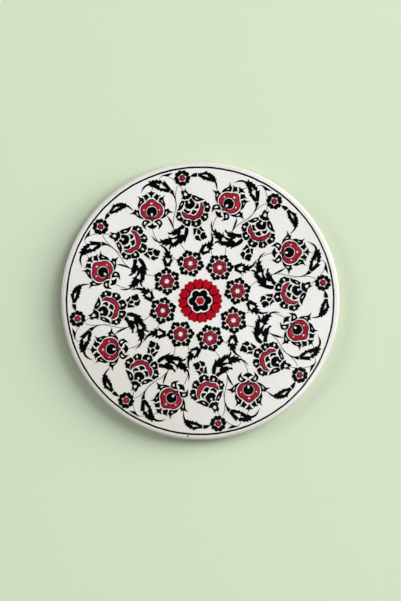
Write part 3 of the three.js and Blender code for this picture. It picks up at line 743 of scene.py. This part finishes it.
small_leaf = [
    [(7.2, 43.6, 1), (8.0, 42.0), (8.4, 39.6), (8.0, 37.0, 1), (9.0, 36.3, 1), (8.0, 35.5), (6.9, 34.3, 1),
     (8.3, 33.7, 1), (7.2, 33.0), (5.7, 32.1, 1), (6.5, 31.1, 1), (4.3, 30.6), (1.9, 29.5, 1),
     (0.9, 30.6), (-0.6, 31.4, 1), (0.0, 33.0), (1.2, 35.2), (1.5, 36.4, 1), (2.5, 35.7, 1),
     (3.5, 37.4, 1), (4.2, 36.2, 1), (4.9, 36.9), (5.5, 38.5, 1), (6.3, 37.1, 1), (6.9, 38.8),
     (7.5, 40.6), (7.3, 42.0)],
    [(2.1, 31.8, 1), (2.6, 33.4), (3.5, 35.0), (4.2, 35.1), (4.3, 33.9, 1), (5.2, 33.8), (5.5, 33.1),
     (4.4, 32.2)],
]
bud = [
    [(-4.5, 46.8, 1), (-2.1, 46.6, 1), (-2.8, 44.9), (-3.1, 43.4), (-4.0, 42.3, 1), (-4.2, 44.4)],
    [(-0.8, 46.9, 1), (0.5, 47.9, 1), (1.4, 46.5), (2.8, 45.3, 1), (1.4, 45.2), (0.2, 45.9)],
    [(-1.7, 46.3, 1), (-1.0, 46.1, 1), (0.3, 44.4), (-0.2, 43.3), (-1.0, 43.0), (-1.7, 43.6)],
    [(0.3, 41.7), (0.8, 43.4), (2.0, 44.3), (3.3, 43.6), (3.2, 42.2, 1), (4.1, 42.0), (4.0, 40.4),
     (2.9, 40.3, 1), (1.7, 39.6), (0.6, 40.5)],
    [(-2.8, 41.8), (-1.7, 42.2), (-0.8, 41.8), (-0.5, 40.6), (0.8, 39.1, 1), (-0.2, 38.7),
     (-0.9, 39.4, 1), (-2.2, 39.3), (-3.1, 40.6)],
]
leaves = rim_leaf + side_leaf + thorns + big_leaf + small_leaf + bud
print("leaves and bud:", len(leaves), "outlines")

# %% [markdown]
# ### The two small flowers
# The rim flower has five two-lobed petals round a red button. The inner flower has six horseshoe petals, each
# open towards the middle, round a red six-lobed heart with a white star. A short dark vein marks each lobe.

# %% Small flower outlines
RIM_FLOWER_AT = (-11.6, 79.2)
RIM_PETAL = [(0, 2.45, 1), (1.1, 2.3), (2.0, 2.85), (2.5, 3.9), (1.9, 4.85), (0.8, 5.1), (0, 4.55, 1)]
rim_flower = [around(mirrored(RIM_PETAL), RIM_FLOWER_AT, 57 + 72 * i) for i in range(5)]
rim_heart = [[on_ray(RIM_FLOWER_AT, reach, 21 + 36 * i) for i, reach in enumerate([1.75, 2.05] * 5)]]

INNER_FLOWER_AT = (-6.3, 24.1)
HORSESHOE_REACH = 4.9
HORSESHOE = [(0, 1.9), (0.5, 1.8), (0.75, 1.35), (0.5, 0.75), (0.4, 0.35, 1), (1.0, 0.1), (1.85, 0.05),
             (2.8, 0.5), (3.1, 1.5), (2.65, 2.5), (1.95, 2.8), (1.3, 2.7, 1), (1.15, 3.3), (0.7, 3.85),
             (0, 4.0)]
inner_flower = [around(mirrored(HORSESHOE), INNER_FLOWER_AT, 48 + 60 * i, HORSESHOE_REACH) for i in range(6)]


def lobed(centre, lobes, reaches, turn, sharp=()):
    """Equal lobes round a centre; `reaches` are the radii of one lobe, `sharp` the corners among them."""
    points = []
    count = lobes * len(reaches)
    for i in range(count):
        part = i % len(reaches)
        corner = (1,) if part in sharp else ()
        points.append((*on_ray(centre, reaches[part], turn + 360 * i / count), *corner))
    return points


inner_heart = [
    lobed(INNER_FLOWER_AT, 6, [4.85, 4.6, 4.05, 4.6], 23, sharp=(2,)),
    lobed(INNER_FLOWER_AT, 6, [2.05, 1.15], 30, sharp=(0, 1)),
]
inner_fill = [inner_heart[0], lobed(INNER_FLOWER_AT, 6, [1.7, 0.85], 30, sharp=(0, 1))]
VEIN = [(-20, 2.7), (-9, 3.2), (0, 3.4), (9, 3.2), (20, 2.7)]
heart_veins = [
    [on_ray(INNER_FLOWER_AT, reach, 23 + 60 * i + aside) for aside, reach in VEIN] for i in range(6)]
print("small flowers:", len(rim_flower) + len(inner_flower), "black outlines")

# %% [markdown]
# ### Stems
# Thin lines tie the repeat together: each flower hangs on one, and the last reaches over to the next repeat.

# %% Stem paths
stems = [
    [(-16.3, 77.4), (-18.5, 79.0), (-20.6, 80.1), (-22.6, 80.6), (-24.3, 80.5), (-25.7, 79.5), (-26.7, 78.2)],
    [(-14.4, 74.6), (-15.4, 72.0), (-15.8, 68.0), (-15.6, 62.0), (-16.4, 56.5), (-17.4, 51.5), (-17.0, 46.4)],
    [(-13.0, 74.0), (-11.6, 72.3), (-10.6, 70.9)],
    [(-30.4, 73.6), (-30.9, 72.2), (-31.2, 70.6)],
    [(-30.8, 46.7), (-30.5, 44.8), (-29.6, 42.3), (-28.4, 39.9), (-27.1, 37.8), (-25.7, 35.9)],
    [(-13.3, 37.2), (-11.6, 35.0), (-9.4, 32.2)],
    [(7.2, 32.6), (7.5, 30.6), (8.4, 28.6)],
]
print(len(stems), "stems")

# %% [markdown]
# ## Eight times round
# A painter turns the plate on a wheel and repeats the group eight times. Each group is brushed once, copied
# with its own mesh, and turned about the centre. No two strokes come out quite alike by hand, so a very
# slight wander is pushed into every copy afterwards, in X and in Y, from two cloudy textures.

# %% Wander of the hand
def cloud(name, size):
    texture = bpy.data.textures.new(name, "CLOUDS")
    texture.noise_scale = size
    return texture


WANDER = {"X": cloud("wander_x", 5.0 * MM), "Y": cloud("wander_y", 6.3 * MM)}
WANDER_REACH = 0.5 * MM


def wander(piece):
    work_on(piece)
    for direction, texture in WANDER.items():
        push = piece.modifiers.new("wander_" + direction, "DISPLACE")
        push.texture = texture
        push.texture_coords = "GLOBAL"
        push.direction = direction
        push.mid_level = 0.5
        push.strength = WANDER_REACH
        bpy.ops.object.modifier_apply(modifier=push.name)


# %% Placing a group
made = []


def set_round(first, name, replaces):
    """Places the first piece and its turned copies, one for each repeat."""
    group = [first]
    for k in range(1, REPEATS):
        work_on(first)
        bpy.ops.object.duplicate()
        piece = bpy.context.active_object
        piece.rotation_euler.z = 2 * math.pi * k / REPEATS
        bpy.ops.object.transform_apply(location=True, rotation=True, scale=True)
        group.append(piece)
    for k, piece in enumerate(group, 1):
        piece.name = piece.data.name = f"{name}_{k}"
        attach(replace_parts(piece, f"{replaces}_{k}"), "root")
    made.extend(group)


# %% [markdown]
# The brush leaves more enamel on a broad leaf than on a fine petal, so each set of outlines has its own
# spread. It is kept small enough for the narrow gaps and notches of its shapes to stay open.

# %% Black work
BLACK_HEIGHT = 0.12
STEM_WIDTH, STEM_HEIGHT = 0.42, 0.07
PUPIL_SPREAD = 0.25
BLACK_WORK = [
    (leaves, "leaf_work", 0.18),
    (palmette_petals, "palmette_petals", 0.20),
    (lotus_petals, "lotus_petals", 0.13),
    (rim_flower, "rim_flower_petals", 0.05),
    (inner_flower, "inner_flower_petals", 0.16),
]
for outlines, name, spread in BLACK_WORK:
    set_round(brushed(name, outlines, BLACK_HEIGHT, black_enamel, spread), name, "vine")
stem_lines = stroke("stem_lines", stems, STEM_WIDTH, STEM_HEIGHT, stem_grey)
set_round(stem_lines, "stem_lines", "vine")
pupil_drop = brushed("pupil", pupil, BLACK_HEIGHT, black_enamel, PUPIL_SPREAD)
set_round(pupil_drop, "pupil", "palmette_pupil")
print("black work:", len(made), "pieces")

# %% [markdown]
# Each red field is two layers. The painter draws its outline in a thin dark line and fills it with thick red.
# So the contour is the full field, low and dark, and the red is the same field drawn in by half a millimetre
# and standing a little higher.

# %% Red fields
CONTOUR_HEIGHT, CONTOUR_SPREAD = 0.10, 0.1
RED_HEIGHT, RED_SPREAD = 0.17, -0.5
VEIN_WIDTH, VEIN_HEIGHT, VEIN_LIFT = 0.42, 0.04, 0.18


def red_field(ground, fill, name, replaces):
    contour = brushed(name, ground, CONTOUR_HEIGHT, contour_dark, CONTOUR_SPREAD)
    set_round(contour, name + "_contour", replaces)
    set_round(brushed(name, fill, RED_HEIGHT, crimson, RED_SPREAD), name, replaces)


red_field(palmette_ground, palmette_fill, "palmette_red", "palmette_heart")
red_field(lotus_band, lotus_band, "lotus_red", "lotus_band")
red_field(inner_heart, inner_fill, "inner_red", "inner_heart")
red_field(rim_heart, rim_heart, "rim_red", "rim_heart")
veins = stroke("inner_veins", heart_veins, VEIN_WIDTH, VEIN_HEIGHT, contour_dark, VEIN_LIFT)
set_round(veins, "inner_veins", "inner_heart")
for piece in made:
    wander(piece)
print("painting so far:", len(made), "pieces")

# %% [markdown]
# ## The centre rosette
# Twelve red hearts stand in a ring with their points inwards, on one dark ground. Inside them a black flower
# of six round petals leaves a six-cornered window, and a small red button sits in it. There is only one
# rosette, so nothing here is copied.

# %% Rosette
HEART_PETAL = [(0, 7.75, 1), (1.3, 8.3), (2.1, 9.2), (2.6, 10.6), (3.0, 12.2), (2.9, 13.3), (1.9, 14.0),
               (0.7, 13.8), (0, 13.25, 1)]
rosette_petals = [around(mirrored(HEART_PETAL), (0, 0), 6.5 + 30 * i) for i in range(12)]
rosette_ground = [
    lobed((0, 0), 12, [12.8, 14.25, 13.4, 14.25], -8.5, sharp=(0, 2)),
    lobed((0, 0), 6, [8.0, 7.9, 7.1, 7.9], 4, sharp=(2,)),
]
rosette_flower = [
    lobed((0, 0), 6, [5.4, 6.9, 7.35, 6.9], -26, sharp=(0,)),
    lobed((0, 0), 6, [3.4, 2.8], 4, sharp=(0,)),
]
rosette_heart = [lobed((0, 0), 6, [2.55, 2.2], 5)]


def single(piece, name, replaces):
    piece.name = piece.data.name = name
    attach(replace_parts(piece, replaces), "root")
    wander(piece)
    made.append(piece)


ROSETTE_HEIGHT, ROSETTE_SPREAD = 0.18, -0.16
for outlines, ground, name, replaces in (
    (rosette_petals, rosette_ground, "rosette_red", "rosette_petals"),
    (rosette_heart, rosette_heart, "rosette_button", "rosette_heart"),
):
    contour = brushed(name, ground, CONTOUR_HEIGHT, contour_dark, CONTOUR_SPREAD)
    single(contour, name + "_contour", replaces)
    red = brushed(name, outlines, ROSETTE_HEIGHT, rosette_red, ROSETTE_SPREAD)
    single(red, name, replaces)
single(
    brushed("rosette_black", rosette_flower, BLACK_HEIGHT, black_enamel),
    "rosette_black", "rosette_flower")
print("rosette:", len(rosette_petals), "red hearts")

# %% [markdown]
# ## The border line
# One turn of the wheel with a steady brush. A thin torus pressed flat has the soft section of that line.

# %% Border line
border_low, border_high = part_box("border_line")
BORDER_OUTER = (border_high[0] - border_low[0]) / 2
BORDER_WIDTH = 1.2 * MM
BORDER_INSET = 0.45 * MM
PRESSED_FLAT = 0.2
deselect_all()
bpy.ops.mesh.primitive_torus_add(
    major_radius=BORDER_OUTER - BORDER_INSET, minor_radius=BORDER_WIDTH / 2,
    major_segments=288, minor_segments=12, location=(0, 0, GLAZE_TOP),
)
border = bpy.context.active_object
border.scale.z = PRESSED_FLAT
bpy.ops.object.transform_apply(location=True, rotation=True, scale=True)
bpy.ops.object.shade_smooth()
border.data.materials.append(black_enamel)
single(border, "border_ring", "border_line")
print("painting:", len(made), "pieces,", sum(len(p.data.polygons) for p in made), "faces")

# %% [markdown]
# ## Floor, light and camera
# The plate lies on a plain pale green sheet, a hair above it, so the two flat faces never fight. The light
# comes from low on the right, a little behind.

# %% Floor
FLOOR_SIZE = 12
FLOOR_GAP = 0.1 * MM
PALE_GREEN = (0.628, 0.725, 0.543, 1)
deselect_all()
bpy.ops.mesh.primitive_plane_add(size=FLOOR_SIZE, location=(0, 0, -FLOOR_GAP))
floor = bpy.context.active_object
floor.name = floor.data.name = "floor_sheet"
floor_paint = bpy.data.materials.new("pale_green_sheet")
floor_paint.use_nodes = True
sheet = floor_paint.node_tree.nodes["Principled BSDF"]
sheet.inputs["Base Color"].default_value = PALE_GREEN
sheet.inputs["Roughness"].default_value = 0.95
sheet.inputs["Specular IOR Level"].default_value = 0.1
floor.data.materials.append(floor_paint)
print("floor", FLOOR_SIZE, "m across")

# %% [markdown]
# Each lamp has one task. A lamp almost level with the floor throws the long soft shadow, a broad one above it
# does most of the lighting, and a fill from the left keeps the shadow open. A high lamp lifts the face, and a
# small panel above the lower right puts a little gloss on the enamel there.

# %% Lamps
LAMPS = [
    # name, azimuth, elevation (degrees), distance, width (metres), power (watts)
    ("low_lamp", 13, 12, 5.0, 2.3, 160),
    ("key_lamp", 30, 28, 5.0, 3.8, 262),
    ("left_fill", 165, 28, 5.0, 2.2, 80),
    ("high_lamp", 37, 50, 5.0, 2.8, 38),
    ("gloss_panel", -35, 68, 1.2, 0.30, 1.0),
]


def round_lamp(name, azimuth, elevation, distance, width, power):
    """A round lamp aimed at the plate from a compass direction and a height above the floor."""
    lamp = bpy.data.lights.new(name, "AREA")
    lamp.shape = "DISK"
    lamp.size = width
    lamp.energy = power
    holder = bpy.data.objects.new(name, lamp)
    bpy.context.collection.objects.link(holder)
    along, up = math.radians(azimuth), math.radians(elevation)
    holder.location = (
        distance * math.cos(up) * math.cos(along),
        distance * math.cos(up) * math.sin(along),
        distance * math.sin(up),
    )
    holder.rotation_euler = (math.radians(90) - up, 0, along + math.radians(90))


for lamp in LAMPS:
    round_lamp(*lamp)
print("lit by", len(LAMPS), "lamps")

# %% [markdown]
# The room fills what the lamps leave. It is palest near the floor and black overhead, because the glaze is a
# mirror for whatever is above it, and a pale ceiling would wash the painting out.

# %% Room
world = bpy.data.worlds.new("studio")
world.use_nodes = True
room = world.node_tree
height = room.nodes.new("ShaderNodeSeparateXYZ")
room.links.new(room.nodes.new("ShaderNodeTexCoord").outputs["Generated"], height.inputs["Vector"])
wall = ramp(room, height.outputs["Z"], [
    (0.15, grey(0.6)), (0.35, grey(0.45)), (0.45, grey(0.4)), (0.65, grey(0.1)), (0.8, grey(0.0))])
room.links.new(wall, room.nodes["Background"].inputs["Color"])
room.nodes["Background"].inputs["Strength"].default_value = 1.0
bpy.context.scene.world = world
bpy.context.scene.view_settings.view_transform = "Standard"
print("room:", world.name)

# %% [markdown]
# The camera looks straight down. A long lens from almost a metre keeps the circle true and hides the side
# wall, and the distance follows from how much of the view's height the plate takes. It stands a fraction of a
# millimetre off the axis.

# %% Camera
PLATE_SHARE = 0.46423
OFF_AXIS = (0.19 * MM, 0.21 * MM)
LENS, SENSOR = 85, 36
distance = 2 * PLATE_RADIUS / PLATE_SHARE * LENS / SENSOR
camera_data = bpy.data.cameras.new("camera")
camera_data.lens = LENS
camera_data.sensor_width = SENSOR
camera = bpy.data.objects.new("camera", camera_data)
bpy.context.collection.objects.link(camera)
camera.location = (*OFF_AXIS, GLAZE_TOP + distance)
bpy.context.scene.camera = camera
print(f"camera {distance:.3f} m above the plate")
